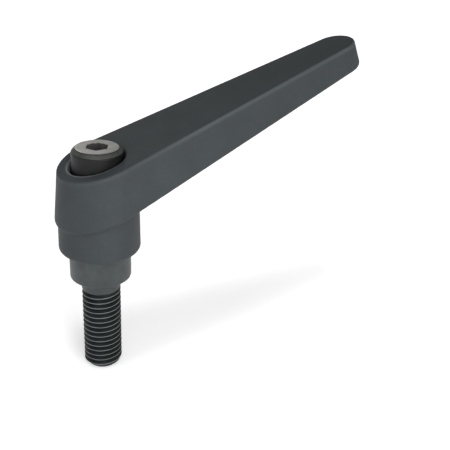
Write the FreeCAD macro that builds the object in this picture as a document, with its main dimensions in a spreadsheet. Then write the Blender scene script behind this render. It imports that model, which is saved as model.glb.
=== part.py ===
import FreeCAD, Part

import math
import os
import re

import Sketcher

# Adjustable clamping lever with a threaded stud.
# The frame: the origin is on the stud's axis in the plane where the collar seats,
# +Z points up away from the clamped part, and the handle rises towards +X.

# Driving sizes in millimetres and degrees.
SIZES = {
    # Threaded stud: stud, collar and toothed head in one turned piece.
    "stud_diameter": 12.0,
    "stud_length": 32.0,
    "stud_end_chamfer": 1.5,
    "thread_pitch": 1.75,
    "thread_depth": 1.05,
    "thread_crest_width": 0.25,
    "thread_neck": 4.0,
    "collar_diameter": 18.8,
    "collar_height": 15.4,
    "collar_edge_chamfer": 0.6,
    "head_lead_in": 0.4,
    # Serration between the toothed head and the lever.
    "tooth_count": 24,
    "tooth_circle_diameter": 17.4,
    "tooth_depth": 0.9,
    "tooth_tip_width": 0.75,
    "tooth_root_width": 1.35,
    "tooth_length": 5.0,
    "tooth_clearance": 0.1,
    "tooth_end_gap": 0.2,
    # Lever: skirt, hub and handle in one casting.
    "skirt_diameter": 24.8,
    "skirt_bottom": 9.5,
    "skirt_edge_radius": 1.5,
    "skirt_draft": 1.0,
    "collar_running_clearance": 0.1,
    "web_thickness": 2.8,
    "underside_height": 22.75,
    "underside_angle": 20.6,
    "top_height": 38.2,
    "top_angle": 17.3,
    "hub_diameter": 29.2,
    "hub_offset": 1.85,
    "side_taper": 2.7,
    "draft_angle": 4.85,
    "handle_reach": 96.5,
    "toe_radius": 3.3,
    "toe_overshoot": 0.15,
    "top_edge_radius": 0.8,
    "underside_edge_radius": 1.2,
    "bore_rim_chamfer": 1.0,
    # Retaining screw: socket head, shoulder and thread.
    "screw_head_diameter": 15.2,
    "screw_head_height": 8.0,
    "screw_head_top": 42.1,
    "screw_head_chamfer": 1.3,
    "screw_bore_gap": 0.3,
    "shoulder_diameter": 9.5,
    "shoulder_clearance": 0.25,
    "screw_thread_diameter": 8.0,
    "screw_thread_length": 11.0,
    "screw_thread_clearance": 0.05,
    "screw_end_chamfer": 0.8,
    "tapped_hole_extra": 2.0,
    "socket_across_flats": 6.0,
    "socket_depth": 5.0,
    # Compression spring between the lever's web and the screw head.
    "spring_mean_diameter": 12.6,
    "wire_diameter": 1.0,
    "spring_turns": 4.0,
    "spring_closed_turns": 0.75,
    "closed_coil_gap": 0.06,
}

# Sizes worked out from the driving ones, as spreadsheet formulas.
DERIVED = {
    "stud_radius": "=stud_diameter / 2",
    "collar_radius": "=collar_diameter / 2",
    "tooth_tip_radius": "=tooth_circle_diameter / 2",
    "tooth_root_radius": "=tooth_tip_radius - tooth_depth",
    "head_top": "=collar_height + tooth_length",
    "thread_rings": "=floor((stud_length - thread_neck - stud_end_chamfer) / thread_pitch)",
    "skirt_radius": "=skirt_diameter / 2",
    "skirt_bore_radius": "=collar_radius + collar_running_clearance",
    "tooth_ring_bottom": "=collar_height + tooth_end_gap",
    "tooth_ring_radius": "=tooth_root_radius + tooth_clearance",
    "web_top": "=head_top + web_thickness",
    "shoulder_radius": "=shoulder_diameter / 2",
    "web_hole_radius": "=shoulder_radius + shoulder_clearance",
    "screw_head_radius": "=screw_head_diameter / 2",
    "bore_radius": "=screw_head_radius + screw_bore_gap",
    "screw_head_underside": "=screw_head_top - screw_head_height",
    "screw_thread_radius": "=screw_thread_diameter / 2",
    "screw_end": "=head_top - screw_thread_length",
    "tapped_hole_radius": "=screw_thread_radius + screw_thread_clearance",
    "tapped_hole_bottom": "=screw_end - tapped_hole_extra",
    "tapped_hole_point": "=tapped_hole_bottom - tapped_hole_radius * tan(31)",
    "hub_radius": "=hub_diameter / 2",
    "tip_underside_height": "=underside_height + handle_reach * tan(underside_angle)",
    "hub_cone_bottom": "=underside_height - hub_diameter * tan(underside_angle)",
    "hub_cone_top": "=top_height + hub_diameter * tan(top_angle)",
    "hub_cone_base_radius": "=hub_radius + (underside_height - hub_cone_bottom) * tan(draft_angle)",
    "hub_cone_top_radius": "=hub_radius + (underside_height - hub_cone_top) * tan(draft_angle)",
    "arm_draft": "=asin(sin(draft_angle) * cos(underside_angle)"
                 " - cos(draft_angle) * sin(side_taper) * sin(underside_angle)) / 1 deg",
    "arm_taper": "=asin((sin(draft_angle) * sin(underside_angle)"
                 " + cos(draft_angle) * sin(side_taper) * cos(underside_angle)) / cos(arm_draft)) / 1 deg",
    "arm_side_distance": "=cos(draft_angle) * (hub_offset * sin(side_taper) + hub_radius)"
                         " / cos(arm_draft)",
    "arm_length": "=handle_reach / cos(underside_angle)",
    "arm_height": "=(top_height - underside_height + toe_radius) / cos(underside_angle)",
    "tip_radius": "=(arm_side_distance - arm_length * sin(arm_taper)) / (1 - sin(arm_taper))",
    "tip_lean": "=underside_angle + arm_draft",
    "toe_centre_reach": "=handle_reach - (toe_radius * sin(tip_lean)"
                        " + (toe_radius - toe_overshoot) * cos(underside_angle)) / cos(arm_draft)",
    "toe_centre_height": "=tip_underside_height + (toe_radius * cos(tip_lean)"
                         " - (toe_radius - toe_overshoot) * sin(underside_angle)) / cos(arm_draft)",
}


def fill_sheet(document):
    """Put every size in the spreadsheet, one named cell to a row."""
    sheet = document.addObject("Spreadsheet::Sheet", "Sizes")
    named_cells = {name: str(value) for name, value in SIZES.items()}
    named_cells.update(DERIVED)
    for row, (name, content) in enumerate(named_cells.items(), start=1):
        sheet.set(f"A{row}", name)
        sheet.set(f"B{row}", content)
        sheet.setAlias(f"B{row}", name)
    document.recompute()
    return sheet


doc = FreeCAD.newDocument("ClampingLever")
sizes = fill_sheet(doc)


def size(formula):
    """The present value of a formula in the sheet's names."""
    return float(sizes.evalExpression(formula))


def bound(formula):
    """The same formula written so that other objects can use it."""
    known = set(SIZES) | set(DERIVED)
    return re.sub(r"[a-z_]+", lambda word: f"Sizes.{word[0]}" if word[0] in known else word[0], formula)


def new_body(label):
    body = doc.addObject("PartDesign::Body", label)
    body.Label = label
    return body


def new_sketch(body, name, role, rise="0", tilt="0"):
    """A sketch on an origin plane, raised along the plane's normal and tilted up towards +X."""
    plane = next(item for item in body.Origin.OriginFeatures if item.Role == role)
    sketch = body.newObject("Sketcher::SketchObject", name)
    sketch.AttachmentSupport = (plane, "")
    sketch.MapMode = "FlatFace"
    sketch.AttachmentOffset = FreeCAD.Placement(
        FreeCAD.Vector(0, 0, size(rise)),
        FreeCAD.Rotation(FreeCAD.Vector(0, -1, 0), size(tilt)),
    )
    if rise != "0":
        sketch.setExpression("AttachmentOffset.Base.z", bound(rise))
    if tilt != "0":
        sketch.setExpression("AttachmentOffset.Rotation.Angle", bound(tilt))
    return sketch


def drive(sketch, kind, references, formula):
    """Add a dimension whose value follows a formula."""
    index = sketch.addConstraint(Sketcher.Constraint(kind, *references, size(formula)))
    sketch.setExpression(f"Constraints[{index}]", bound(formula))


def place_point(sketch, geometry, point, across, along):
    """Hold a point at two formulas, measured from the sketch's origin."""
    for kind, formula, axis in (("DistanceX", across, -2), ("DistanceY", along, -1)):
        if formula == "0":
            sketch.addConstraint(Sketcher.Constraint("PointOnObject", geometry, point, axis))
        else:
            drive(sketch, kind, (-1, 1, geometry, point), formula)


def draw_profile(sketch, corners):
    """A closed polygon through corners that are given as pairs of formulas."""
    points = [FreeCAD.Vector(size(across), size(along), 0) for across, along in corners]
    lines = []
    for start, end in zip(points, points[1:] + points[:1]):
        lines.append(sketch.addGeometry(Part.LineSegment(start, end), False))
    for line, following in zip(lines, lines[1:] + lines[:1]):
        sketch.addConstraint(Sketcher.Constraint("Coincident", line, 2, following, 1))
    for line, (across, along) in zip(lines, corners):
        place_point(sketch, line, 1, across, along)


def draw_circle(sketch, radius):
    circle = Part.Circle(FreeCAD.Vector(0, 0, 0), FreeCAD.Vector(0, 0, 1), size(radius))
    index = sketch.addGeometry(circle, False)
    sketch.addConstraint(Sketcher.Constraint("Coincident", index, 3, -1, 1))
    drive(sketch, "Radius", (index,), radius)


def draw_arm_outline(sketch):
    """The arm seen square to its underside: two straight sides that run into the round tip."""
    radius, taper = size("tip_radius"), math.radians(size("arm_taper"))
    centre = size("arm_length - tip_radius")
    root = size("arm_side_distance / cos(arm_taper)")
    along, across = radius * math.sin(taper), radius * math.cos(taper)
    circle = Part.Circle(FreeCAD.Vector(centre, 0, 0), FreeCAD.Vector(0, 0, 1), radius)
    corners = [
        FreeCAD.Vector(0, root, 0),
        FreeCAD.Vector(0, -root, 0),
        FreeCAD.Vector(centre + along, -across, 0),
        FreeCAD.Vector(centre + along, across, 0),
    ]
    back = sketch.addGeometry(Part.LineSegment(corners[0], corners[1]), False)
    near = sketch.addGeometry(Part.LineSegment(corners[1], corners[2]), False)
    half_turn = math.pi / 2 - taper
    tip = sketch.addGeometry(Part.ArcOfCircle(circle, -half_turn, half_turn), False)
    far = sketch.addGeometry(Part.LineSegment(corners[3], corners[0]), False)
    for joint in ((back, 2, near, 1), (far, 2, back, 1)):
        sketch.addConstraint(Sketcher.Constraint("Coincident", *joint))
    for joint in ((near, 2, tip, 1), (tip, 2, far, 1)):
        sketch.addConstraint(Sketcher.Constraint("Tangent", *joint))
    place_point(sketch, back, 1, "0", "arm_side_distance / cos(arm_taper)")
    place_point(sketch, back, 2, "0", "-1 * arm_side_distance / cos(arm_taper)")
    place_point(sketch, tip, 3, "arm_length - tip_radius", "0")


def draw_below_underside(sketch, rear, front):
    """The region below the sloping underside, with the toe's arc at its front end."""
    slope = math.radians(size("underside_angle"))
    lean = math.radians(size("tip_lean"))
    low = f"underside_height + {rear} * tan(underside_angle)"
    start = FreeCAD.Vector(size(rear), size(low), 0)
    centre = FreeCAD.Vector(size("toe_centre_reach"), size("toe_centre_height"), 0)
    circle = Part.Circle(centre, FreeCAD.Vector(0, 0, 1), size("toe_radius"))
    touch = circle.value(slope - math.pi / 2)
    leave = circle.value(lean)
    outer = FreeCAD.Vector(size(front), leave.y, 0)
    corner = FreeCAD.Vector(size(front), start.y, 0)
    underside = sketch.addGeometry(Part.LineSegment(start, touch), False)
    toe = sketch.addGeometry(Part.ArcOfCircle(circle, slope - math.pi / 2, lean), False)
    away = sketch.addGeometry(Part.LineSegment(leave, outer), False)
    down = sketch.addGeometry(Part.LineSegment(outer, corner), False)
    bottom = sketch.addGeometry(Part.LineSegment(corner, start), False)
    sketch.addConstraint(Sketcher.Constraint("Tangent", underside, 2, toe, 1))
    for joint in ((toe, 2, away, 1), (away, 2, down, 1), (down, 2, bottom, 1), (bottom, 2, underside, 1)):
        sketch.addConstraint(Sketcher.Constraint("Coincident", *joint))
    for line in (away, bottom):
        sketch.addConstraint(Sketcher.Constraint("Horizontal", line))
    sketch.addConstraint(Sketcher.Constraint("Vertical", down))
    place_point(sketch, underside, 1, rear, low)
    place_point(sketch, toe, 3, "toe_centre_reach", "toe_centre_height")
    drive(sketch, "DistanceX", (-1, 1, down, 1), front)
    drive(sketch, "DistanceY", (-1, 1, away, 1), "toe_centre_height + toe_radius * sin(tip_lean)")


def draw_tooth(sketch, grow):
    """One serration tooth on +X, wider on every flank and at its tip by the formula grow."""
    inner = "tooth_root_radius - tooth_depth"
    outer = f"tooth_tip_radius + {grow}"
    slope = "(tooth_root_width - tooth_tip_width) / (2 * tooth_depth)"
    outer_half = f"tooth_tip_width / 2 + {grow} - {slope} * {grow}"
    inner_half = f"tooth_root_width / 2 + {grow} + {slope} * tooth_depth"
    corners = [
        (inner, f"-1 * ({inner_half})"),
        (outer, f"-1 * ({outer_half})"),
        (outer, outer_half),
        (inner, inner_half),
    ]
    draw_profile(sketch, corners)


def revolve(body, kind, sketch, name):
    feature = body.newObject(kind, name)
    feature.Profile = (sketch, [""])
    feature.ReferenceAxis = (sketch, ["V_Axis"])
    feature.Angle = 360
    return feature


def square_to(angle):
    """The upward direction square to a plane that rises towards +X."""
    slope = math.radians(size(angle))
    return FreeCAD.Vector(-math.sin(slope), 0, math.cos(slope))


def faces_along(face, direction):
    """Whether a face looks along a direction, either way."""
    return abs(face.normalAt(0, 0).dot(direction)) > 0.999


def face_names(feature, is_wanted):
    """Names of the feature's faces that pass the test."""
    return [f"Face{number}" for number, face in enumerate(feature.Shape.Faces, start=1) if is_wanted(face)]


def cut_across(body, sketch, name):
    """Cut a side profile through the whole width of the lever."""
    pocket = body.newObject("PartDesign::Pocket", name)
    pocket.Profile = (sketch, [""])
    pocket.Midplane = True
    pocket.setExpression("Length", bound("4 * hub_diameter"))
    return pocket


def repeat_round_axis(body, feature, name):
    """Copy a feature round the Z axis, one copy for each tooth."""
    doc.recompute()
    axis = next(item for item in body.Origin.OriginFeatures if item.Role == "Z_Axis")
    pattern = body.newObject("PartDesign::PolarPattern", name)
    pattern.Originals = [feature]
    pattern.Axis = (axis, [""])
    pattern.Angle = 360
    pattern.setExpression("Occurrences", bound("tooth_count"))
    body.Tip = pattern
    return pattern


def edge_names(feature, is_wanted):
    """Names of the feature's edges whose every sampled point passes the test."""
    names = []
    for number, edge in enumerate(feature.Shape.Edges, start=1):
        points = edge.discretize(Number=7)
        if all(is_wanted(point) for point in points):
            names.append(f"Edge{number}")
    return names


def round_edges(body, feature, is_wanted, radius, name):
    """Fillet the edges of the last feature that pass the test."""
    doc.recompute()
    fillet = body.newObject("PartDesign::Fillet", name)
    fillet.Base = (feature, edge_names(feature, is_wanted))
    fillet.setExpression("Radius", bound(radius))
    return fillet


def on_slope(height, angle):
    """A test for points in a plane that rises towards +X from a height on the axis."""
    rise = math.tan(math.radians(size(angle)))
    level = size(height)
    return lambda point: abs(point.z - level - rise * point.x) < 0.01


def at_radius(radius):
    """A test for points at a distance from the Z axis."""
    wanted = size(radius)
    return lambda point: abs(math.hypot(point.x, point.y) - wanted) < 0.01


def make_lever():
    """Lever: a zinc die casting whose hub and handle are one tapered, drafted form."""
    body = new_body("lever")

    # Arm: padded square to its underside and drafted, then cut off where its sides touch the hub.
    outline = new_sketch(body, "ArmOutline", "XY_Plane", "underside_height", "underside_angle")
    draw_arm_outline(outline)
    arm = body.newObject("PartDesign::Pad", "Arm")
    arm.Profile = (outline, [""])
    arm.setExpression("Length", bound("arm_height"))
    doc.recompute()
    on_underside = on_slope("underside_height", "underside_angle")
    walls = face_names(arm, lambda face: not faces_along(face, square_to("underside_angle")))
    floor = face_names(arm, lambda face: all(on_underside(vertex.Point) for vertex in face.Vertexes))
    draft = body.newObject("PartDesign::Draft", "ArmDraft")
    draft.Base = (arm, walls)
    draft.NeutralPlane = (arm, floor)
    draft.setExpression("Angle", bound("arm_draft"))
    doc.recompute()
    rear = "-2 * hub_diameter"
    front = "2 * handle_reach"
    behind = new_sketch(body, "BehindArm", "XZ_Plane")
    draw_profile(behind, [
        ("hub_offset + hub_cone_base_radius * sin(side_taper)", "hub_cone_bottom"),
        ("hub_offset + hub_cone_top_radius * sin(side_taper)", "hub_cone_top"),
        (rear, "hub_cone_top"),
        (rear, "hub_cone_bottom"),
    ])
    cut_across(body, behind, "ArmRoot")

    # Hub: a drafted cone that the arm's sides touch, then the sloping top and underside.
    hub = body.newObject("PartDesign::AdditiveCone", "Hub")
    plane = next(item for item in body.Origin.OriginFeatures if item.Role == "XY_Plane")
    hub.AttachmentSupport = (plane, "")
    hub.MapMode = "FlatFace"
    hub.setExpression("AttachmentOffset.Base.x", bound("hub_offset"))
    hub.setExpression("AttachmentOffset.Base.z", bound("hub_cone_bottom"))
    hub.setExpression("Radius1", bound("hub_cone_base_radius"))
    hub.setExpression("Radius2", bound("hub_cone_top_radius"))
    hub.setExpression("Height", bound("hub_cone_top - hub_cone_bottom"))
    below = new_sketch(body, "BelowUnderside", "XZ_Plane")
    draw_below_underside(below, rear, front)
    cut_across(body, below, "SlopingUnderside")
    above = new_sketch(body, "AboveTop", "XZ_Plane")
    draw_profile(above, [
        (rear, f"top_height + {rear} * tan(top_angle)"),
        (front, f"top_height + {front} * tan(top_angle)"),
        (rear, f"top_height + {front} * tan(top_angle)"),
    ])
    sloped = cut_across(body, above, "SlopingTop")
    on_top = on_slope("top_height", "top_angle")
    crease = round_edges(body, sloped, on_top, "top_edge_radius", "TopEdges")
    round_edges(body, crease, on_underside, "underside_edge_radius", "UndersideEdges")

    # Skirt: a cylinder that ends inside the hub, above the underside's highest point over it.
    ring = new_sketch(body, "SkirtCircle", "XY_Plane", "skirt_bottom")
    draw_circle(ring, "skirt_radius")
    skirt = body.newObject("PartDesign::Pad", "Skirt")
    skirt.Profile = (ring, [""])
    skirt_top = "underside_height + skirt_radius * tan(underside_angle)"
    skirt.setExpression("Length", bound(f"{skirt_top} - skirt_bottom"))
    skirt.setExpression("TaperAngle", bound("-1 * skirt_draft"))
    doc.recompute()
    lowest = size("skirt_bottom")
    hem = round_edges(body, skirt, lambda point: abs(point.z - lowest) < 0.01,
                      "skirt_edge_radius", "SkirtEdge")

    # Stepped bore: collar seat, tooth ring, web hole and spring chamber.
    steps = new_sketch(body, "BoreSteps", "XZ_Plane")
    above_hub = "top_height + bore_radius"
    draw_profile(steps, [
        ("0", "skirt_bottom - 1"),
        ("skirt_bore_radius", "skirt_bottom - 1"),
        ("skirt_bore_radius", "tooth_ring_bottom"),
        ("tooth_ring_radius", "tooth_ring_bottom"),
        ("tooth_ring_radius", "head_top"),
        ("web_hole_radius", "head_top"),
        ("web_hole_radius", "web_top"),
        ("bore_radius", "web_top"),
        ("bore_radius", above_hub),
        ("0", above_hub),
    ])
    bore = revolve(body, "PartDesign::Groove", steps, "SteppedBore")
    doc.recompute()
    at_bore = at_radius("bore_radius")
    rim = body.newObject("PartDesign::Chamfer", "BoreRim")
    rim.Base = (bore, edge_names(bore, lambda point: on_top(point) and at_bore(point)))
    rim.setExpression("Size", bound("bore_rim_chamfer"))

    # Inner serration: one groove for each tooth of the stud's head.
    groove_sketch = new_sketch(body, "ToothGroove", "XY_Plane", "tooth_ring_bottom")
    draw_tooth(groove_sketch, "tooth_clearance")
    doc.recompute()
    groove = body.newObject("PartDesign::Pocket", "InnerTooth")
    groove.Profile = (groove_sketch, [""])
    groove.Reversed = True
    groove.setExpression("Length", bound("head_top - tooth_ring_bottom"))
    repeat_round_axis(body, groove, "InnerTeeth")
    return body


def make_threaded_stud():
    """Threaded stud: turned steel with a collar and a toothed head above it."""
    body = new_body("threaded_stud")
    profile = new_sketch(body, "TurnedProfile", "XZ_Plane")
    draw_profile(profile, [
        ("0", "-1 * stud_length"),
        ("stud_radius - stud_end_chamfer", "-1 * stud_length"),
        ("stud_radius", "stud_end_chamfer - stud_length"),
        ("stud_radius", "0"),
        ("collar_radius - collar_edge_chamfer", "0"),
        ("collar_radius", "collar_edge_chamfer"),
        ("collar_radius", "collar_height"),
        ("tooth_root_radius", "collar_height"),
        ("tooth_root_radius", "head_top - head_lead_in"),
        ("tooth_root_radius - head_lead_in", "head_top"),
        ("tapped_hole_radius", "head_top"),
        ("tapped_hole_radius", "tapped_hole_bottom"),
        ("0", "tapped_hole_point"),
    ])
    revolve(body, "PartDesign::Revolution", profile, "TurnedStud")

    # Thread: one ring groove at each pitch, from the plain neck to the end chamfer.
    thread_sketch = new_sketch(body, "ThreadGroove", "XZ_Plane")
    draw_profile(thread_sketch, [
        ("stud_radius - thread_depth", "-1 * thread_neck - (thread_pitch - thread_crest_width) / 2"),
        ("stud_radius", "-1 * thread_neck"),
        ("stud_radius + thread_depth", "-1 * thread_neck"),
        ("stud_radius + thread_depth", "thread_crest_width - thread_neck - thread_pitch"),
        ("stud_radius", "thread_crest_width - thread_neck - thread_pitch"),
    ])
    thread_groove = revolve(body, "PartDesign::Groove", thread_sketch, "ThreadRing")
    doc.recompute()
    thread = body.newObject("PartDesign::LinearPattern", "Thread")
    thread.Originals = [thread_groove]
    thread.Direction = (next(item for item in body.Origin.OriginFeatures if item.Role == "Z_Axis"), [""])
    thread.Reversed = True
    thread.setExpression("Occurrences", bound("thread_rings"))
    thread.setExpression("Length", bound("(thread_rings - 1) * thread_pitch"))
    body.Tip = thread

    # Head: teeth that carry the lever's inner serration.
    tooth_sketch = new_sketch(body, "Tooth", "XY_Plane", "collar_height")
    draw_tooth(tooth_sketch, "0")
    doc.recompute()
    tooth = body.newObject("PartDesign::Pad", "OuterTooth")
    tooth.Profile = (tooth_sketch, [""])
    tooth.setExpression("Length", bound("tooth_length"))
    repeat_round_axis(body, tooth, "OuterTeeth")
    return body


def make_retaining_screw():
    """Retaining screw: its shoulder seats on the stud's head, and its own head holds the spring."""
    body = new_body("retaining_screw")
    profile = new_sketch(body, "TurnedProfile", "XZ_Plane")
    draw_profile(profile, [
        ("0", "screw_end"),
        ("screw_thread_radius - screw_end_chamfer", "screw_end"),
        ("screw_thread_radius", "screw_end + screw_end_chamfer"),
        ("screw_thread_radius", "head_top"),
        ("shoulder_radius", "head_top"),
        ("shoulder_radius", "screw_head_underside"),
        ("screw_head_radius", "screw_head_underside"),
        ("screw_head_radius", "screw_head_top - screw_head_chamfer"),
        ("screw_head_radius - screw_head_chamfer", "screw_head_top"),
        ("0", "screw_head_top"),
    ])
    revolve(body, "PartDesign::Revolution", profile, "TurnedScrew")
    doc.recompute()
    socket = body.newObject("PartDesign::SubtractivePrism", "HexSocket")
    plane = next(item for item in body.Origin.OriginFeatures if item.Role == "XY_Plane")
    socket.AttachmentSupport = (plane, "")
    socket.MapMode = "FlatFace"
    socket.Polygon = 6
    socket.setExpression("Circumradius", bound("socket_across_flats / sqrt(3)"))
    socket.setExpression("Height", bound("socket_depth"))
    socket.setExpression("AttachmentOffset.Base.z", bound("screw_head_top - socket_depth"))
    return body


SECTIONS_PER_TURN = 10
WIRE_SIDES = 12


def coil_height(turns, turns_total):
    """Height of the wire's centre: flat closed ends with an even rise between them."""
    wire = size("wire_diameter")
    turns_closed = size("spring_closed_turns")
    closed_pitch = wire + size("closed_coil_gap")
    low, high = size("web_top") + wire / 2, size("screw_head_underside") - wire / 2
    if turns < turns_closed:
        return low + closed_pitch * turns
    if turns > turns_total - turns_closed:
        return high - closed_pitch * (turns_total - turns)
    closed_rise = closed_pitch * turns_closed
    share = (turns - turns_closed) / (turns_total - 2 * turns_closed)
    return low + closed_rise + share * (high - low - 2 * closed_rise)


def wire_section(centre, outward):
    """The wire's section: a circle drawn with few sides, upright and facing along the coil."""
    radius = size("wire_diameter / 2")
    corners = []
    for side in range(WIRE_SIDES + 1):
        angle = 2 * math.pi * side / WIRE_SIDES
        upward = FreeCAD.Vector(0, 0, radius * math.sin(angle))
        corners.append(centre + outward * radius * math.cos(angle) + upward)
    return Part.makePolygon(corners)


def make_compression_spring():
    """Compression spring: round wire, closed ends, from the web's top to the screw head."""
    coil_radius = size("spring_mean_diameter / 2")
    turns_total = size("spring_turns")
    count = round(SECTIONS_PER_TURN * turns_total)
    sections = []
    for step in range(count + 1):
        turns = turns_total * step / count
        angle = 2 * math.pi * turns
        outward = FreeCAD.Vector(math.cos(angle), math.sin(angle), 0)
        centre = outward * coil_radius + FreeCAD.Vector(0, 0, coil_height(turns, turns_total))
        sections.append(wire_section(centre, outward))
    coil = Part.makeLoft(sections, True, True)
    spring = doc.addObject("Part::Feature", "compression_spring")
    spring.Label = "compression_spring"
    spring.Shape = coil
    spring.Placement = FreeCAD.Placement()
    return spring


parts = [
    make_threaded_stud(),
    make_retaining_screw(),
    make_compression_spring(),
    make_lever(),
]
doc.recompute()

# Nothing is written unless every object and every piece is sound.
for item in doc.Objects:
    if "Invalid" in item.State or "Error" in item.State:
        raise RuntimeError(f"{item.Name} failed: {item.State}")
for piece in parts:
    if piece.Shape.isNull() or not piece.Shape.isValid():
        raise RuntimeError(f"{piece.Label} has no valid shape")
    if len(piece.Shape.Solids) != 1:
        raise RuntimeError(f"{piece.Label} is {len(piece.Shape.Solids)} solids")

os.makedirs("parts", exist_ok=True)
for piece in parts:
    piece.Shape.exportStep(f"parts/{piece.Label}.step")
    box = piece.Shape.BoundBox
    print(f"{piece.Label}: {piece.Shape.Volume:.1f} mm3,"
          f" x {box.XMin:.2f} to {box.XMax:.2f}, y {box.YMin:.2f} to {box.YMax:.2f},"
          f" z {box.ZMin:.2f} to {box.ZMax:.2f}")
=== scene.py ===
import math

import bpy
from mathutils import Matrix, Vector


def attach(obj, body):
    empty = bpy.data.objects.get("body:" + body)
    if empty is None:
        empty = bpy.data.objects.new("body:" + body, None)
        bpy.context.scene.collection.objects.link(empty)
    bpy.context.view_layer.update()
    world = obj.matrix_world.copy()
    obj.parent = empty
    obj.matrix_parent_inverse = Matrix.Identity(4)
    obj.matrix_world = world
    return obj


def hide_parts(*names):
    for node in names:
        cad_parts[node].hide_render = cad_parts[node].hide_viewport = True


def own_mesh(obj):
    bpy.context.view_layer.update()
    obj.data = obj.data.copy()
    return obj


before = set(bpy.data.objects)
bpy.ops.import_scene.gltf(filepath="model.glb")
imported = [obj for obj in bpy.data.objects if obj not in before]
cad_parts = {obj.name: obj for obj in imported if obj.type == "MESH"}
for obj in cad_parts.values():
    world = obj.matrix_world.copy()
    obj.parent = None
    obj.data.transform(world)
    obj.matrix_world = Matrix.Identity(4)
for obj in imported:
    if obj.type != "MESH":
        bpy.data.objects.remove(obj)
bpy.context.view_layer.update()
MM = 0.001

# ---------------------------------------------------------------------------
# Threaded stud: one turned steel piece, blackened in a hot oxide bath.
# An M12 thread runs up to a plain neck, above it stand the round collar and
# the toothed head that the lever's inner teeth drop on to.
# ---------------------------------------------------------------------------
THREAD_MAJOR = 6.0 * MM
THREAD_MINOR = 4.95 * MM
THREAD_PITCH = 1.75 * MM
STUD_FOOT = -32.0 * MM
STUD_CHAMFER = 1.5 * MM
THREAD_WINDS = 20
THREAD_STEPS = 72
CREST_DEPTH = 0.12 * MM
THREAD_TOP = -3.6 * MM
RUN_OUT = 1.6 * MM
COLLAR_RADIUS = 9.4 * MM
COLLAR_EDGE = 0.6 * MM
COLLAR_TOP = 15.4 * MM
COLLAR_TOP_EDGE = 0.3 * MM
NECK_IN_COLLAR = 2 * MM
TOOTH_TIP_RADIUS = 8.7 * MM
TOOTH_ROOT_RADIUS = 7.8 * MM
TOOTH_TIP_WIDTH = 0.75 * MM
TOOTH_ROOT_WIDTH = 1.35 * MM
TOOTH_COUNT = 24
TOOTH_IN_HEAD = 0.4 * MM
TOOTH_TIP_EASE = 0.02 * MM
HEAD_TOP = 20.4 * MM
HEAD_LEAD_IN = 0.4 * MM
HOLE_RADIUS = 4.05 * MM
HOLE_FLOOR = 7.4 * MM
DRILL_POINT_ANGLE = math.radians(31)
TURNED_SEGMENTS = 96


def clear_selection():
    """Leaves object mode with nothing selected."""
    if bpy.context.object and bpy.context.object.mode != "OBJECT":
        bpy.ops.object.mode_set(mode="OBJECT")
    bpy.ops.object.select_all(action="DESELECT")


def make_active(piece):
    """Selects one object alone and makes it the active one."""
    clear_selection()
    piece.select_set(True)
    bpy.context.view_layer.objects.active = piece


def draw_outline(name, points):
    """An open line of (radius, height) points on the XZ plane, point after point."""
    clear_selection()
    bpy.ops.mesh.primitive_plane_add(size=MM, location=(0, 0, 0))
    piece = bpy.context.object
    piece.name = name
    bpy.ops.object.mode_set(mode="EDIT")
    bpy.ops.mesh.select_mode(type="VERT")
    bpy.ops.mesh.merge(type="CENTER")
    bpy.ops.transform.translate(value=(points[0][0], 0, points[0][1]))
    for start, end in zip(points, points[1:]):
        step = (end[0] - start[0], 0, end[1] - start[1])
        bpy.ops.mesh.extrude_region_move(TRANSFORM_OT_translate={"value": step})
    bpy.ops.object.mode_set(mode="OBJECT")
    return piece


def close_up(piece):
    """Merges doubled points and turns every face outwards."""
    make_active(piece)
    bpy.ops.object.mode_set(mode="EDIT")
    bpy.ops.mesh.select_all(action="SELECT")
    bpy.ops.mesh.remove_doubles(threshold=0.001 * MM)
    bpy.ops.mesh.normals_make_consistent(inside=False)
    bpy.ops.object.mode_set(mode="OBJECT")


def turn_on_lathe(name, points, segments=TURNED_SEGMENTS):
    """A closed turned body: the outline is spun once round the Z axis."""
    piece = draw_outline(name, points)
    bpy.ops.object.mode_set(mode="EDIT")
    bpy.ops.mesh.select_all(action="SELECT")
    bpy.ops.mesh.spin(steps=segments, angle=2 * math.pi, center=(0, 0, 0), axis=(0, 0, 1))
    close_up(piece)
    return piece


def cut_level(piece, height, keep_above):
    """Cuts a piece off square at a height and closes the cut with a face."""
    make_active(piece)
    bpy.ops.object.mode_set(mode="EDIT")
    bpy.ops.mesh.select_all(action="SELECT")
    bpy.ops.mesh.bisect(
        plane_co=(0, 0, height),
        plane_no=(0, 0, 1),
        use_fill=True,
        clear_inner=keep_above,
        clear_outer=not keep_above,
        threshold=0.0001 * MM,
    )
    bpy.ops.object.mode_set(mode="OBJECT")


def smooth_blend(value):
    """Eases from 0 to 1."""
    value = min(max(value, 0.0), 1.0)
    return value * value * (3 - 2 * value)


def smooth_faces(piece, angle):
    """Smooth shading that keeps edges sharper than the angle, in degrees."""
    make_active(piece)
    bpy.ops.object.shade_smooth_by_angle(angle=math.radians(angle))


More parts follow.
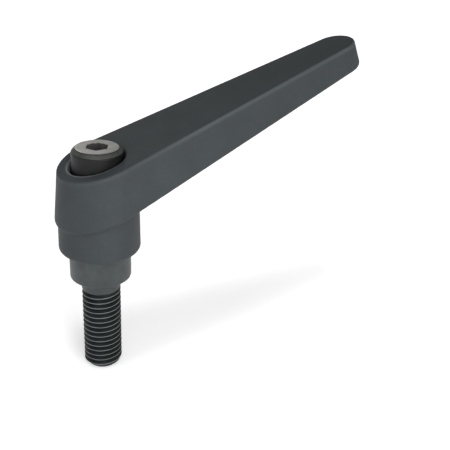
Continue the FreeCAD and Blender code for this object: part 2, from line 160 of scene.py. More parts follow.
# One pitch of the thread's outline, wound up the stud by the screw modifier.
crest_flat = THREAD_PITCH / 8
root_flat = THREAD_PITCH / 5
flank_height = (THREAD_PITCH - crest_flat - root_flat) / 2
flank_middle = (THREAD_MAJOR + THREAD_MINOR) / 2
one_pitch = [
    (THREAD_MINOR, 0),
    (THREAD_MINOR, root_flat / 2),
    (flank_middle, (root_flat + flank_height) / 2),
    (THREAD_MAJOR, root_flat / 2 + flank_height),
    (THREAD_MAJOR, root_flat / 2 + flank_height + crest_flat),
    (flank_middle, root_flat / 2 + flank_height * 1.5 + crest_flat),
    (THREAD_MINOR, THREAD_PITCH - root_flat / 2),
    (THREAD_MINOR, THREAD_PITCH),
]
one_pitch = [(r, z + STUD_FOOT - 2 * THREAD_PITCH) for r, z in one_pitch]
stud = draw_outline("Stud_turned", one_pitch)
winding = stud.modifiers.new("Winding", "SCREW")
winding.axis = "Z"
winding.angle = 2 * math.pi
winding.screw_offset = THREAD_PITCH
winding.iterations = THREAD_WINDS
winding.steps = THREAD_STEPS
winding.render_steps = THREAD_STEPS
winding.use_merge_vertices = True
winding.merge_threshold = 0.001 * MM
make_active(stud)
bpy.ops.object.modifier_apply(modifier="Winding")
close_up(stud)
cut_level(stud, STUD_FOOT, keep_above=True)
cut_level(stud, THREAD_TOP, keep_above=False)

# The grooves run out into the neck, and the end chamfer cuts the crests away.
for point in stud.data.vertices:
    radius = math.hypot(point.co.x, point.co.y)
    if radius > THREAD_MINOR / 2:
        fade = smooth_blend((point.co.z - THREAD_TOP + RUN_OUT) / RUN_OUT)
        wanted = radius + (THREAD_MAJOR - radius) * fade
        wanted = min(wanted, THREAD_MAJOR - STUD_CHAMFER + (point.co.z - STUD_FOOT))
        point.co.x *= wanted / radius
        point.co.y *= wanted / radius

# The neck is drawn up out of the thread's last ring, into the collar.
make_active(stud)
bpy.ops.object.mode_set(mode="EDIT")
bpy.ops.mesh.select_all(action="DESELECT")
bpy.ops.mesh.select_mode(type="FACE")
bpy.ops.object.mode_set(mode="OBJECT")
for face in stud.data.polygons:
    face.select = face.center.z > THREAD_TOP - 0.01 * MM and face.normal.z > 0.9
bpy.ops.object.mode_set(mode="EDIT")
bpy.ops.mesh.extrude_region_move(
    TRANSFORM_OT_translate={"value": (0, 0, NECK_IN_COLLAR - THREAD_TOP)}
)
bpy.ops.object.mode_set(mode="OBJECT")

collar = turn_on_lathe("Collar", [
    (0, 0),
    (COLLAR_RADIUS - COLLAR_EDGE, 0),
    (COLLAR_RADIUS - 0.15 * COLLAR_EDGE, 0.7 * COLLAR_EDGE),
    (COLLAR_RADIUS, COLLAR_EDGE * 1.3),
    (COLLAR_RADIUS, COLLAR_TOP - COLLAR_TOP_EDGE),
    (COLLAR_RADIUS - COLLAR_TOP_EDGE, COLLAR_TOP),
    (TOOTH_ROOT_RADIUS, COLLAR_TOP),
    (TOOTH_ROOT_RADIUS, HEAD_TOP - HEAD_LEAD_IN),
    (TOOTH_ROOT_RADIUS - HEAD_LEAD_IN, HEAD_TOP),
    (HOLE_RADIUS, HEAD_TOP),
    (HOLE_RADIUS, HOLE_FLOOR),
    (0, HOLE_FLOOR - HOLE_RADIUS * math.tan(DRILL_POINT_ANGLE)),
])

# One tooth is drawn out of a block and spun round as 24 copies.
clear_selection()
bpy.ops.mesh.primitive_cube_add(size=1, location=(0, 0, 0))
tooth = bpy.context.object
tooth.name = "Head_teeth"
bpy.ops.object.mode_set(mode="EDIT")
tooth_foot_radius = TOOTH_ROOT_RADIUS - TOOTH_IN_HEAD
tooth_height = HEAD_TOP - HEAD_LEAD_IN - COLLAR_TOP
tooth_reach = TOOTH_TIP_RADIUS - tooth_foot_radius
bpy.ops.transform.resize(value=(tooth_reach, TOOTH_ROOT_WIDTH, tooth_height))
bpy.ops.transform.translate(
    value=(tooth_foot_radius + tooth_reach / 2, 0, COLLAR_TOP + tooth_height / 2)
)
bpy.ops.object.mode_set(mode="OBJECT")
for point in tooth.data.vertices:
    if point.co.x > TOOTH_ROOT_RADIUS:
        point.co.y *= TOOTH_TIP_WIDTH / TOOTH_ROOT_WIDTH
        point.co.x -= TOOTH_TIP_EASE
bpy.ops.object.mode_set(mode="EDIT")
bpy.ops.mesh.select_all(action="SELECT")
bpy.ops.mesh.spin(
    steps=TOOTH_COUNT,
    dupli=True,
    angle=2 * math.pi,
    center=(0, 0, 0),
    axis=(0, 0, 1),
)
close_up(tooth)

make_active(stud)
collar.select_set(True)
tooth.select_set(True)
bpy.ops.object.join()
smooth_faces(stud, 40)


def to_linear(colour):
    """A hex sRGB colour as linear RGBA."""
    channels = [int(colour[i:i + 2], 16) / 255 for i in (1, 3, 5)]
    return tuple(
        c / 12.92 if c <= 0.04045 else ((c + 0.055) / 1.055) ** 2.4 for c in channels
    ) + (1.0,)


def add_node(material, kind, settings=None, links=None):
    """Adds a shader node, sets its properties and inputs, and links it to outputs."""
    tree = material.node_tree
    node = tree.nodes.new(kind)
    for key, value in (settings or {}).items():
        if isinstance(key, str) and hasattr(node, key):
            setattr(node, key, value)
        else:
            node.inputs[key].default_value = value
    for key, source in (links or {}).items():
        tree.links.new(source, node.inputs[key])
    return node


def new_material(name):
    """An empty node material, its default nodes all cleared."""
    material = bpy.data.materials.new(name)
    material.use_nodes = True
    material.node_tree.nodes.clear()
    return material


# Hot-oxide blackened steel: a thin black skin that still shines softly, with
# fine lathe lines round the axis and a slightly cloudy tone from the bath.
black_oxide = new_material("Blackened_turned_steel")
place = add_node(black_oxide, "ShaderNodeTexCoord")
clouds = add_node(
    black_oxide,
    "ShaderNodeTexNoise",
    {"Scale": 260.0, "Detail": 3.0, "Roughness": 0.55},
    {"Vector": place.outputs["Object"]},
)
tone = add_node(
    black_oxide, "ShaderNodeValToRGB", links={"Fac": clouds.outputs["Fac"]}
)
tone.color_ramp.elements[0].position = 0.35
tone.color_ramp.elements[0].color = to_linear("#424747")
tone.color_ramp.elements[1].position = 0.7
tone.color_ramp.elements[1].color = to_linear("#4f5555")
# The lathe's feed is about 0.1 mm; the lines are drawn 0.25 mm apart to show.
stretch = add_node(
    black_oxide,
    "ShaderNodeMapping",
    {"Scale": (60.0, 60.0, 4000.0)},
    {"Vector": place.outputs["Object"]},
)
feed_lines = add_node(
    black_oxide,
    "ShaderNodeTexNoise",
    {"Scale": 1.0, "Detail": 2.0},
    {"Vector": stretch.outputs["Vector"]},
)
relief = add_node(
    black_oxide,
    "ShaderNodeBump",
    {"Strength": 0.12, "Distance": 0.05 * MM},
    {"Height": feed_lines.outputs["Fac"]},
)
sheen_range = add_node(
    black_oxide,
    "ShaderNodeMapRange",
    {"To Min": 0.42, "To Max": 0.56},
    {"Value": clouds.outputs["Fac"]},
)
skin = add_node(
    black_oxide,
    "ShaderNodeBsdfPrincipled",
    {"Metallic": 0.35},
    {
        "Base Color": tone.outputs["Color"],
        "Roughness": sheen_range.outputs["Result"],
        "Normal": relief.outputs["Normal"],
    },
)
add_node(
    black_oxide, "ShaderNodeOutputMaterial", links={"Surface": skin.outputs["BSDF"]}
)

# Painted shade: the thread's grooves and flanks are blacker and glossier.
# Painted highlight: its crests are a light grey line.
thread_painted_shade = black_oxide.copy()
thread_painted_shade.name = "Thread_groove_painted_shade"
crest_painted_highlight = black_oxide.copy()
crest_painted_highlight.name = "Thread_crest_painted_highlight"
for copied, dark, light, sheen in (
    (thread_painted_shade, "#2f3333", "#3b4040", (0.3, 0.42)),
    (crest_painted_highlight, "#7b8181", "#8c9292", (0.34, 0.46)),
):
    for node in copied.node_tree.nodes:
        if node.bl_idname == "ShaderNodeValToRGB":
            node.color_ramp.elements[0].color = to_linear(dark)
            node.color_ramp.elements[1].color = to_linear(light)
        if node.bl_idname == "ShaderNodeMapRange":
            node.inputs["To Min"].default_value = sheen[0]
            node.inputs["To Max"].default_value = sheen[1]
stud.data.materials.clear()
for finish in (black_oxide, thread_painted_shade, crest_painted_highlight):
    stud.data.materials.append(finish)
# The crests' faces take the painted highlight, the rest of the thread the painted shade.
for face in stud.data.polygons:
    radius = math.hypot(face.center.x, face.center.y)
    threaded = STUD_FOOT + STUD_CHAMFER < face.center.z < THREAD_TOP - RUN_OUT / 2
    if threaded and radius < THREAD_MAJOR + 0.01 * MM:
        face.material_index = 2 if radius > THREAD_MAJOR - CREST_DEPTH else 1
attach(stud, "stud")
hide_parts("threaded_stud")

# ---------------------------------------------------------------------------
# Retaining screw: blackened steel screw through the lever's web into the stud.
# Its cap head is faced bright on the lathe after blackening, with a chamfered
# rim and a hexagon socket whose mouth is eased a little.
# ---------------------------------------------------------------------------
SCREW_END = 9.4 * MM
SCREW_THREAD_RADIUS = 4.0 * MM
SCREW_END_CHAMFER = 0.8 * MM
SHOULDER_RADIUS = 4.75 * MM
SCREW_HEAD_RADIUS = 7.6 * MM
SCREW_HEAD_FOOT = 34.1 * MM
SCREW_HEAD_TOP = 42.1 * MM
SCREW_HEAD_CHAMFER = 1.3 * MM
HEAD_FOOT_CHAMFER = 0.2 * MM
RIM_BEVEL = 0.38 * MM
FACED_DEPTH = 0.12 * MM
SOCKET_FLATS = 6.0 * MM
SOCKET_MOUTH_RADIUS = 3.58 * MM
SOCKET_MOUTH_EDGE = 0.1 * MM
SOCKET_DEPTH = 5.0 * MM
SOCKET_POINT = 0.9 * MM
NEAR = 0.01 * MM

screw = turn_on_lathe("Retaining_screw_head", [
    (0, SCREW_END),
    (SCREW_THREAD_RADIUS - SCREW_END_CHAMFER, SCREW_END),
    (SCREW_THREAD_RADIUS, SCREW_END + SCREW_END_CHAMFER),
    (SCREW_THREAD_RADIUS, HEAD_TOP),
    (SHOULDER_RADIUS, HEAD_TOP),
    (SHOULDER_RADIUS, SCREW_HEAD_FOOT),
    (SCREW_HEAD_RADIUS - HEAD_FOOT_CHAMFER, SCREW_HEAD_FOOT),
    (SCREW_HEAD_RADIUS, SCREW_HEAD_FOOT + HEAD_FOOT_CHAMFER),
    (SCREW_HEAD_RADIUS, SCREW_HEAD_TOP - SCREW_HEAD_CHAMFER),
    (SCREW_HEAD_RADIUS - SCREW_HEAD_CHAMFER, SCREW_HEAD_TOP),
    (SOCKET_MOUTH_RADIUS, SCREW_HEAD_TOP),
    (SOCKET_FLATS / 2, SCREW_HEAD_TOP - SOCKET_MOUTH_EDGE),
    (SOCKET_FLATS / 2, SCREW_HEAD_TOP - SOCKET_DEPTH),
    (0, SCREW_HEAD_TOP - SOCKET_DEPTH - SOCKET_POINT),
])


def hexagon_radius(x, y, flats):
    """Distance from the axis to a hexagon's side towards a point, with a corner on +X."""
    turn = math.atan2(y, x) % (math.pi / 3)
    return flats / 2 / math.cos(turn - math.pi / 6)


# The socket's rings are set to the hexagon, with its mouth a little wider.
for point in screw.data.vertices:
    radius = math.hypot(point.co.x, point.co.y)
    in_socket = SCREW_HEAD_FOOT < point.co.z and radius < SOCKET_MOUTH_RADIUS + NEAR
    if in_socket and radius > SOCKET_FLATS / 2 - NEAR:
        flats = SOCKET_FLATS
        if radius > SOCKET_FLATS / 2 + NEAR:
            flats += 2 * SOCKET_MOUTH_EDGE
        wanted = hexagon_radius(point.co.x, point.co.y, flats)
        point.co.x *= wanted / radius
        point.co.y *= wanted / radius

# A small bevel takes the sharpness off the head's two rims.
make_active(screw)
bpy.ops.object.mode_set(mode="EDIT")
bpy.ops.mesh.select_mode(type="EDGE")
bpy.ops.mesh.select_all(action="DESELECT")
bpy.ops.object.mode_set(mode="OBJECT")
rims = [
    (SCREW_HEAD_RADIUS, SCREW_HEAD_TOP - SCREW_HEAD_CHAMFER),
    (SCREW_HEAD_RADIUS - SCREW_HEAD_CHAMFER, SCREW_HEAD_TOP),
]
for edge in screw.data.edges:
    ends = [screw.data.vertices[i].co for i in edge.vertices]
    edge.select = any(
        all(
            abs(math.hypot(end.x, end.y) - radius) < NEAR
            and abs(end.z - height) < NEAR
            for end in ends
        )
        for radius, height in rims
    )
bpy.ops.object.mode_set(mode="EDIT")
bpy.ops.mesh.bevel(offset=RIM_BEVEL, segments=3, affect="EDGES")
bpy.ops.object.mode_set(mode="OBJECT")
smooth_faces(screw, 25)
weighting = screw.modifiers.new("Weighting", "WEIGHTED_NORMAL")
weighting.keep_sharp = True
bpy.ops.object.modifier_apply(modifier="Weighting")

# Bright faced steel: lathe rings round the axis, about 0.3 mm apart here so
# that they show, glossy along the rings and soft across them.
faced_steel = new_material("Bright_faced_steel")
place = add_node(faced_steel, "ShaderNodeTexCoord")
rings = add_node(
    faced_steel,
    "ShaderNodeTexWave",
    {
        "wave_type": "RINGS",
        "rings_direction": "Z",
        "Scale": 520.0,
        "Distortion": 1.2,
        "Detail": 2.0,
        "Detail Scale": 1.5,
    },
    {"Vector": place.outputs["Object"]},
)
ring_relief = add_node(
    faced_steel,
    "ShaderNodeBump",
    {"Strength": 0.16, "Distance": 0.05 * MM},
    {"Height": rings.outputs["Fac"]},
)
stain = add_node(
    faced_steel,
    "ShaderNodeTexNoise",
    {"Scale": 420.0, "Detail": 2.0},
    {"Vector": place.outputs["Object"]},
)
bright = add_node(
    faced_steel, "ShaderNodeValToRGB", links={"Fac": stain.outputs["Fac"]}
)
bright.color_ramp.elements[0].position = 0.3
bright.color_ramp.elements[0].color = to_linear("#c7c5c0")
bright.color_ramp.elements[1].position = 0.75
bright.color_ramp.elements[1].color = to_linear("#e2e0dc")
mirror = add_node(
    faced_steel,
    "ShaderNodeBsdfPrincipled",
    {"Metallic": 1.0, "Roughness": 0.34},
    {"Base Color": bright.outputs["Color"], "Normal": ring_relief.outputs["Normal"]},
)
add_node(
    faced_steel, "ShaderNodeOutputMaterial", links={"Surface": mirror.outputs["BSDF"]}
)

# The head's side, shoulder and thread keep a darker, oilier black, and
# the chamfer and the socket are a lighter grey.
oiled_black = black_oxide.copy()
oiled_black.name = "Oiled_black_steel"
grey_black = black_oxide.copy()
grey_black.name = "Grey_black_steel"
for copied, dark, light, level in (
    (oiled_black, "#191b19", "#1f211f", 0.25),
    (grey_black, "#454744", "#555752", 0.5),
):
    for node in copied.node_tree.nodes:
        if node.bl_idname == "ShaderNodeValToRGB":
            node.color_ramp.elements[0].color = to_linear(dark)
            node.color_ramp.elements[1].color = to_linear(light)
        if node.bl_idname == "ShaderNodeBsdfPrincipled":
            node.inputs["Metallic"].default_value = 0.0
            node.inputs["Specular IOR Level"].default_value = level
screw.data.materials.clear()
for finish in (oiled_black, faced_steel, grey_black):
    screw.data.materials.append(finish)
for face in screw.data.polygons:
    radius = math.hypot(face.center.x, face.center.y)
    below_top = SCREW_HEAD_TOP - face.center.z
    if below_top < FACED_DEPTH and radius > SOCKET_FLATS / 2 + SOCKET_MOUTH_EDGE:
        face.material_index = 1
    elif radius < SOCKET_MOUTH_RADIUS and face.center.z > SCREW_HEAD_FOOT:
        face.material_index = 2
    elif below_top < SCREW_HEAD_CHAMFER and 0.2 < face.normal.z < 0.8:
        face.material_index = 2
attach(screw, "stud")
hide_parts("retaining_screw")

# ---------------------------------------------------------------------------
# Compression spring: round drawn wire with closed ends, round the shoulder,
# between the lever's inner web and the screw's head. It pushes the lever down.
# ---------------------------------------------------------------------------
SPRING_RADIUS = 6.3 * MM
WIRE_DIAMETER = 1.0 * MM
SPRING_FOOT = 23.2 * MM
SPRING_TURNS = 4.0
CLOSED_TURNS = 0.75
CLOSED_GAP = 0.06 * MM
POINTS_PER_TURN = 40


def coil_height(turns):
    """Height of the wire's centre: flat closed ends with an even rise between them."""
    closed_pitch = WIRE_DIAMETER + CLOSED_GAP
    low = SPRING_FOOT + WIRE_DIAMETER / 2
    high = SCREW_HEAD_FOOT - WIRE_DIAMETER / 2
    if turns < CLOSED_TURNS:
        return low + closed_pitch * turns
    if turns > SPRING_TURNS - CLOSED_TURNS:
        return high - closed_pitch * (SPRING_TURNS - turns)
    closed_rise = closed_pitch * CLOSED_TURNS
    share = (turns - CLOSED_TURNS) / (SPRING_TURNS - 2 * CLOSED_TURNS)
    return low + closed_rise + share * (high - low - 2 * closed_rise)


clear_selection()
coil_curve = bpy.data.curves.new("Compression_spring", "CURVE")
coil_curve.dimensions = "3D"
coil_line = coil_curve.splines.new("POLY")
coil_count = int(SPRING_TURNS * POINTS_PER_TURN)
coil_line.points.add(coil_count)
for index in range(coil_count + 1):
    turns = index / POINTS_PER_TURN
    angle = 2 * math.pi * turns
    coil_line.points[index].co = (
        SPRING_RADIUS * math.cos(angle),
        SPRING_RADIUS * math.sin(angle),
        coil_height(turns),
        1.0,
    )
coil_curve.bevel_depth = WIRE_DIAMETER / 2
coil_curve.bevel_resolution = 4
coil_curve.use_fill_caps = True
spring = bpy.data.objects.new("Compression_spring", coil_curve)
bpy.context.scene.collection.objects.link(spring)
make_active(spring)
bpy.ops.object.convert(target="MESH")
spring = bpy.context.object
close_up(spring)
smooth_faces(spring, 50)

# Drawn spring wire: grey patented steel with a film of oil and faint draw lines.
spring_wire = new_material("Drawn_spring_wire")
place = add_node(spring_wire, "ShaderNodeTexCoord")
draw_marks = add_node(
    spring_wire,
    "ShaderNodeTexNoise",
    {"Scale": 900.0, "Detail": 3.0},
    {"Vector": place.outputs["Object"]},
)
wire_tone = add_node(
    spring_wire, "ShaderNodeValToRGB", links={"Fac": draw_marks.outputs["Fac"]}
)
wire_tone.color_ramp.elements[0].color = to_linear("#5f6163")
wire_tone.color_ramp.elements[1].color = to_linear("#8b8d8e")
wire_skin = add_node(
    spring_wire,
    "ShaderNodeBsdfPrincipled",
    {"Metallic": 1.0, "Roughness": 0.36},
    {"Base Color": wire_tone.outputs["Color"]},
)
add_node(
    spring_wire, "ShaderNodeOutputMaterial", links={"Surface": wire_skin.outputs["BSDF"]}
)
spring.data.materials.clear()
spring.data.materials.append(spring_wire)
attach(spring, "spring")
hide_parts("compression_spring")
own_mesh(spring)

# ---------------------------------------------------------------------------
# Lever: hub, skirt and tapered handle in one zinc die casting, with teeth in
# its bore. It is coated with a fine-textured dark grey powder.
# ---------------------------------------------------------------------------
# The casting's own CAD mesh is copied and merged, free of the node's tags.
clear_selection()
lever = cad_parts["lever"].copy()
lever.data = lever.data.copy()
lever.name = "Lever_casting"
for tag in list(lever.keys()):
    del lever[tag]
lever.parent = None
bpy.context.scene.collection.objects.link(lever)
make_active(lever)
bpy.ops.object.mode_set(mode="EDIT")
bpy.ops.mesh.select_all(action="SELECT")
bpy.ops.mesh.remove_doubles(threshold=0.002 * MM)
bpy.ops.object.mode_set(mode="OBJECT")
smooth_faces(lever, 32)
weighting = lever.modifiers.new("Weighting", "WEIGHTED_NORMAL")
weighting.keep_sharp = True
weighting.weight = 80
make_active(lever)
bpy.ops.object.modifier_apply(modifier="Weighting")

# Textured powder coat: fine grains of about 0.3 mm, drawn a little coarser
# here so that they show, and a faint mottle where the film is thicker.
powder_coat = new_material("Fine_textured_powder_coat")
place = add_node(powder_coat, "ShaderNodeTexCoord")
mottle = add_node(
    powder_coat,
    "ShaderNodeTexNoise",
    {"Scale": 90.0, "Detail": 4.0, "Roughness": 0.6},
    {"Vector": place.outputs["Object"]},
)
grain = add_node(
    powder_coat,
    "ShaderNodeTexNoise",
    {"Scale": 1900.0, "Detail": 2.0, "Roughness": 0.6},
    {"Vector": place.outputs["Object"]},
)
mix_height = add_node(
    powder_coat,
    "ShaderNodeMix",
    {"data_type": "RGBA", "blend_type": "MIX", 0: 0.35},
    {6: mottle.outputs["Color"], 7: grain.outputs["Color"]},
)
coat_tone = add_node(
    powder_coat, "ShaderNodeValToRGB", links={"Fac": mix_height.outputs[2]}
)
coat_tone.color_ramp.elements[0].position = 0.36
coat_tone.color_ramp.elements[0].color = to_linear("#44494b")
coat_tone.color_ramp.elements[1].position = 0.64
coat_tone.color_ramp.elements[1].color = to_linear("#4d5356")
coat_relief = add_node(
    powder_coat,
    "ShaderNodeBump",
    {"Strength": 0.28, "Distance": 0.06 * MM},
    {"Height": grain.outputs["Fac"]},
)
coat_sheen = add_node(
    powder_coat,
    "ShaderNodeMapRange",
    {"To Min": 0.55, "To Max": 0.68},
    {"Value": mottle.outputs["Fac"]},
)

# A painted highlight lightens the rims of the top face in a band of about 1.5 mm
# that fades out down the sides, where the coat is also made smoother. The arm's
# rims get the most, the hub's hardly any. A stronger painted highlight lightens
# the bore's rim at the hub's free end.
TOP_HEIGHT = 38.2 * MM
TOP_ANGLE = math.radians(17.3)
HIGHLIGHT_BAND = 1.6 * MM
HIGHLIGHT_FULL = 0.2 * MM
HUB_EDGE_END = 4 * MM
ARM_EDGE_START = 28 * MM
FREE_END_FADE = 3 * MM
BORE_RIM_INNER = 9.0 * MM
BORE_RIM_OUTER = 9.4 * MM
top_upward = (-math.sin(TOP_ANGLE), 0.0, math.cos(TOP_ANGLE))
top_level = TOP_HEIGHT * math.cos(TOP_ANGLE)
height_on_tilt = add_node(
    powder_coat,
    "ShaderNodeVectorMath",
    {"operation": "DOT_PRODUCT", 1: top_upward},
    {0: place.outputs["Object"]},
)
near_top = add_node(
    powder_coat,
    "ShaderNodeMapRange",
    {
        "interpolation_type": "SMOOTHSTEP",
        "From Min": top_level - HIGHLIGHT_BAND,
        "From Max": top_level - HIGHLIGHT_FULL,
    },
    {"Value": height_on_tilt.outputs["Value"]},
)
faces_up = add_node(
    powder_coat,
    "ShaderNodeVectorMath",
    {"operation": "DOT_PRODUCT", 1: top_upward},
    {0: place.outputs["Normal"]},
)
off_top = add_node(
    powder_coat,
    "ShaderNodeMapRange",
    {"From Min": 0.88, "From Max": 0.985, "To Min": 1.0, "To Max": 0.0},
    {"Value": faces_up.outputs["Value"]},
)
place_parts = add_node(
    powder_coat, "ShaderNodeSeparateXYZ", links={"Vector": place.outputs["Object"]}
)
along_arm = add_node(
    powder_coat,
    "ShaderNodeMapRange",
    {"From Min": HUB_EDGE_END, "From Max": ARM_EDGE_START, "To Min": 0.25},
    {"Value": place_parts.outputs["X"]},
)
rim_highlight_mask = add_node(
    powder_coat,
    "ShaderNodeMath",
    {"operation": "MULTIPLY"},
    {0: near_top.outputs["Result"], 1: off_top.outputs["Result"]},
)
arm_rim_highlight_mask = add_node(
    powder_coat,
    "ShaderNodeMath",
    {"operation": "MULTIPLY"},
    {0: rim_highlight_mask.outputs[0], 1: along_arm.outputs["Result"]},
)
flat_place = add_node(
    powder_coat,
    "ShaderNodeVectorMath",
    {"operation": "MULTIPLY", 1: (1.0, 1.0, 0.0)},
    {0: place.outputs["Object"]},
)
off_axis = add_node(
    powder_coat,
    "ShaderNodeVectorMath",
    {"operation": "LENGTH"},
    {0: flat_place.outputs["Vector"]},
)
at_bore = add_node(
    powder_coat,
    "ShaderNodeMapRange",
    {"From Min": BORE_RIM_OUTER, "From Max": BORE_RIM_INNER},
    {"Value": off_axis.outputs["Value"]},
)
free_end = add_node(
    powder_coat,
    "ShaderNodeMapRange",
    {"From Min": FREE_END_FADE, "From Max": -FREE_END_FADE},
    {"Value": place_parts.outputs["X"]},
)
free_rim = add_node(
    powder_coat,
    "ShaderNodeMath",
    {"operation": "MULTIPLY"},
    {0: at_bore.outputs["Result"], 1: free_end.outputs["Result"]},
)
bore_rim_highlight_mask = add_node(
    powder_coat,
    "ShaderNodeMath",
    {"operation": "MULTIPLY"},
    {0: near_top.outputs["Result"], 1: free_rim.outputs[0]},
)
# Painted highlight on the rims of the top face.
rim_highlight_tone = add_node(
    powder_coat,
    "ShaderNodeMix",
    {"data_type": "RGBA", 7: to_linear("#5f6669")},
    {0: arm_rim_highlight_mask.outputs[0], 6: coat_tone.outputs["Color"]},
)
# Painted highlight on the bore's rim at the hub's free end.
bore_rim_highlight_tone = add_node(
    powder_coat,
    "ShaderNodeMix",
    {"data_type": "RGBA", 7: to_linear("#868a8b")},
    {0: bore_rim_highlight_mask.outputs[0], 6: rim_highlight_tone.outputs[2]},
)
highlight_band_gloss = add_node(
    powder_coat,
    "ShaderNodeMix",
    {"data_type": "FLOAT", 3: 0.42},
    {0: arm_rim_highlight_mask.outputs[0], 2: coat_sheen.outputs["Result"]},
)
coat_skin = add_node(
    powder_coat,
    "ShaderNodeBsdfPrincipled",
    {"Metallic": 0.0, "IOR": 1.5, "Specular IOR Level": 0.3},
    {
        "Base Color": bore_rim_highlight_tone.outputs[2],
        "Roughness": highlight_band_gloss.outputs[0],
        "Normal": coat_relief.outputs["Normal"],
    },
)
add_node(
    powder_coat, "ShaderNodeOutputMaterial", links={"Surface": coat_skin.outputs["BSDF"]}
)
lever.data.materials.clear()
lever.data.materials.append(powder_coat)
for face in lever.data.polygons:
    face.material_index = 0
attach(lever, "lever")
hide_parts("lever")

# ---------------------------------------------------------------------------
# Studio: a plain white floor under the stud's foot, white walls all round, and
# soft lamps in front, at the left, behind, and one small one close to the hub.
# A lamp overhead lights the floor alone, for the shadow under the handle.
# ---------------------------------------------------------------------------
FLOOR_SIZE = 6.0
SHADOW_CENTRE = (0.03, 0.0, STUD_FOOT)
SHADOW_REACH = 0.5

clear_selection()
bpy.ops.mesh.primitive_plane_add(size=FLOOR_SIZE, location=(0, 0, 0))
floor = bpy.context.object
floor.name = "Floor"
bpy.ops.object.mode_set(mode="EDIT")
bpy.ops.transform.translate(value=(0, 0, STUD_FOOT))
bpy.ops.object.mode_set(mode="OBJECT")

# White paper: to the camera and in reflections it glows a little less round the
# foot than far away, so that it is white there and still keeps the shadow. It
# throws less light back at the lever, as if the lamp overhead were not there.
white_floor = new_material("White_paper_floor")
rays = add_node(white_floor, "ShaderNodeLightPath")
place = add_node(white_floor, "ShaderNodeTexCoord")
reach = add_node(
    white_floor,
    "ShaderNodeVectorMath",
    {"operation": "DISTANCE", 1: SHADOW_CENTRE},
    {0: place.outputs["Object"]},
)
reach_share = add_node(
    white_floor,
    "ShaderNodeMapRange",
    {"From Max": SHADOW_REACH},
    {"Value": reach.outputs["Value"]},
)
glow_level = add_node(
    white_floor, "ShaderNodeValToRGB", links={"Fac": reach_share.outputs["Result"]}
)
glow_level.color_ramp.elements.new(0.22)
for stop, place_on_ramp, level in zip(
    glow_level.color_ramp.elements, (0.06, 0.22, 1.0), (0.49, 0.62, 0.84)
):
    stop.position = place_on_ramp
    stop.color = (level, level, level, 1)
paper = add_node(
    white_floor, "ShaderNodeBsdfDiffuse", {"Color": to_linear("#f2f2f2")}
)
paper_in_shade = add_node(
    white_floor, "ShaderNodeBsdfDiffuse", {"Color": to_linear("#a6a6a6")}
)
glow = add_node(
    white_floor, "ShaderNodeEmission", links={"Color": glow_level.outputs["Color"]}
)
seen = add_node(
    white_floor,
    "ShaderNodeMath",
    {"operation": "MAXIMUM"},
    {0: rays.outputs["Is Camera Ray"], 1: rays.outputs["Is Glossy Ray"]},
)
paper_and_glow = add_node(
    white_floor, "ShaderNodeAddShader", links={0: paper.outputs[0], 1: glow.outputs[0]}
)
floor_choice = add_node(
    white_floor,
    "ShaderNodeMixShader",
    links={
        0: seen.outputs[0],
        1: paper_in_shade.outputs[0],
        2: paper_and_glow.outputs[0],
    },
)
add_node(
    white_floor, "ShaderNodeOutputMaterial", links={"Surface": floor_choice.outputs[0]}
)
floor.data.materials.append(white_floor)

# The walls' light runs from the front wall over the side walls to the back wall.
world = bpy.data.worlds.new("White_studio")
bpy.context.scene.world = world
world.use_nodes = True
world.node_tree.nodes.clear()
rays = add_node(world, "ShaderNodeLightPath")
direction = add_node(world, "ShaderNodeTexCoord")
compass = add_node(
    world, "ShaderNodeSeparateXYZ", links={"Vector": direction.outputs["Generated"]}
)
front_to_back = add_node(
    world,
    "ShaderNodeMapRange",
    {"From Min": -1.0, "From Max": 1.0},
    {"Value": compass.outputs["Y"]},
)
walls = []
for front, side, back in ((0.45, 0.15, 0.25), (0.7, 0.1, 0.38)):
    shade = add_node(
        world, "ShaderNodeValToRGB", links={"Fac": front_to_back.outputs["Result"]}
    )
    shade.color_ramp.elements.new(0.5)
    for stop, level in zip(shade.color_ramp.elements, (front, side, back)):
        stop.color = (level, level, level, 1)
    walls.append(
        add_node(world, "ShaderNodeBackground", links={"Color": shade.outputs["Color"]})
    )
in_picture = add_node(world, "ShaderNodeBackground", {"Color": (1, 1, 1, 1)})
lit_or_mirrored = add_node(
    world,
    "ShaderNodeMixShader",
    links={
        0: rays.outputs["Is Glossy Ray"],
        1: walls[0].outputs[0],
        2: walls[1].outputs[0],
    },
)
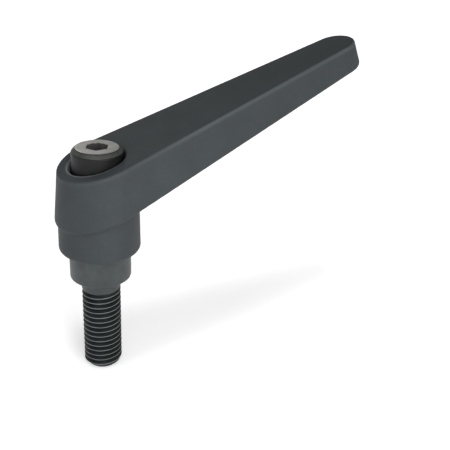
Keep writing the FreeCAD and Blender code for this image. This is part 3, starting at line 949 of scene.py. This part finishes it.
all_round = add_node(
    world,
    "ShaderNodeMixShader",
    links={
        0: rays.outputs["Is Camera Ray"],
        1: lit_or_mirrored.outputs[0],
        2: in_picture.outputs[0],
    },
)
add_node(world, "ShaderNodeOutputWorld", links={"Surface": all_round.outputs[0]})


def soft_lamp(name, place, aim, size, power):
    """A square soft lamp that faces a point and is itself out of the picture."""
    light = bpy.data.lights.new(name, "AREA")
    light.shape = "SQUARE"
    light.size = size
    light.energy = power
    lamp = bpy.data.objects.new(name, light)
    bpy.context.scene.collection.objects.link(lamp)
    lamp.location = place
    lamp.rotation_euler = (Vector(aim) - Vector(place)).to_track_quat("-Z", "Y").to_euler()
    lamp.visible_camera = False
    return lamp


soft_lamp("Front_softbox", (0.0, -0.6, 0.16), (0, 0, 0.02), 0.34, 1.28)
soft_lamp("Left_softbox", (-0.55, -0.15, 0.16), (0, 0, 0.02), 0.3, 0.36)
soft_lamp("Back_softbox", (0.05, 0.65, 0.42), (0, 0, 0.03), 0.4, 0.17)
soft_lamp("Hub_softbox", (-0.035, -0.075, 0.105), (0, 0, 0.04), 0.04, 0.025)
overhead = soft_lamp("Overhead_softbox", (-0.08, -0.12, 0.87), (0.03, 0, 0), 0.17, 1.95)
floor_only = bpy.data.collections.new("Floor_only")
floor_only.objects.link(floor)
overhead.light_linking.receiver_collection = floor_only

# ---------------------------------------------------------------------------
# Camera: the photograph's viewing angle, from the front left and above.
# ---------------------------------------------------------------------------
CAMERA_LENS = 58.648
CAMERA_PLACE = (-0.0816382, -0.18552272, 0.11432401)
CAMERA_TURNS = (64.4314, -2.6164, -33.2788)
camera_data = bpy.data.cameras.new("Camera")
camera_data.lens = CAMERA_LENS
camera_data.sensor_width = 36.0
camera = bpy.data.objects.new("Camera", camera_data)
bpy.context.scene.collection.objects.link(camera)
camera.location = CAMERA_PLACE
camera.rotation_euler = [math.radians(turn) for turn in CAMERA_TURNS]
bpy.context.scene.camera = camera
bpy.context.scene.view_settings.view_transform = "Standard"
